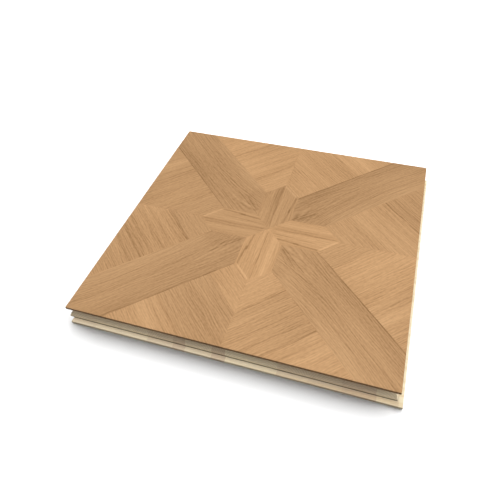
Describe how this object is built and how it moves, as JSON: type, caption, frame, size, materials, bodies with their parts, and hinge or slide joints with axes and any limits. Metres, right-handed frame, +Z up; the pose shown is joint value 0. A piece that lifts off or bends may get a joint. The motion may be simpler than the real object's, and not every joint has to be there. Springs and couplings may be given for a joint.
{
  "type": "engineered oak parquet panel",
  "caption": "Square engineered oak parquet panel: star, diagonal band and chevron marquetry on a softwood slat core, with lapped edges that join it to the next panel.",
  "frame": {"origin": "on the underside, straight below the middle of the square oak face", "axes": "+Z up out of the oak face; the lip stands out on -Y (front) and +X (right); the core slats run along Y"},
  "size_m": [0.4052, 0.4052, 0.023],
  "materials": {
    "oak_face": "matt oiled",
    "softwood_core": "bare sawn",
    "softwood_backing": "bare sanded"
  },
  "bodies": {
    "root": {"backing_sheet": "softwood_backing", "chevron_east_left_board_1": "oak_face", "chevron_east_left_board_2": "oak_face", "chevron_east_left_board_3": "oak_face", "chevron_east_right_board_1": "oak_face", "chevron_east_right_board_2": "oak_face", "chevron_east_right_board_3": "oak_face", "chevron_north_left_board_1": "oak_face", "chevron_north_left_board_2": "oak_face", "chevron_north_left_board_3": "oak_face", "chevron_north_right_board_1": "oak_face", "chevron_north_right_board_2": "oak_face", "chevron_north_right_board_3": "oak_face", "chevron_south_left_board_1": "oak_face", "chevron_south_left_board_2": "oak_face", "chevron_south_left_board_3": "oak_face", "chevron_south_right_board_1": "oak_face", "chevron_south_right_board_2": "oak_face", "chevron_south_right_board_3": "oak_face", "chevron_west_left_board_1": "oak_face", "chevron_west_left_board_2": "oak_face", "chevron_west_left_board_3": "oak_face", "chevron_west_right_board_1": "oak_face", "chevron_west_right_board_2": "oak_face", "chevron_west_right_board_3": "oak_face", "core_slat_01": "softwood_core", "core_slat_02": "softwood_core", "core_slat_03": "softwood_core", "core_slat_04": "softwood_core", "core_slat_05": "softwood_core", "core_slat_06": "softwood_core", "core_slat_07": "softwood_core", "core_slat_08": "softwood_core", "core_slat_09": "softwood_core", "core_slat_10": "softwood_core", "core_slat_11": "softwood_core", "core_slat_12": "softwood_core", "core_slat_13": "softwood_core", "diagonal_band_north_east": "oak_face", "diagonal_band_north_west": "oak_face", "diagonal_band_south_east": "oak_face", "diagonal_band_south_west": "oak_face", "star_petal_east_left": "oak_face", "star_petal_east_right": "oak_face", "star_petal_north_left": "oak_face", "star_petal_north_right": "oak_face", "star_petal_south_left": "oak_face", "star_petal_south_right": "oak_face", "star_petal_west_left": "oak_face", "star_petal_west_right": "oak_face"}
  },
  "joints": []
}
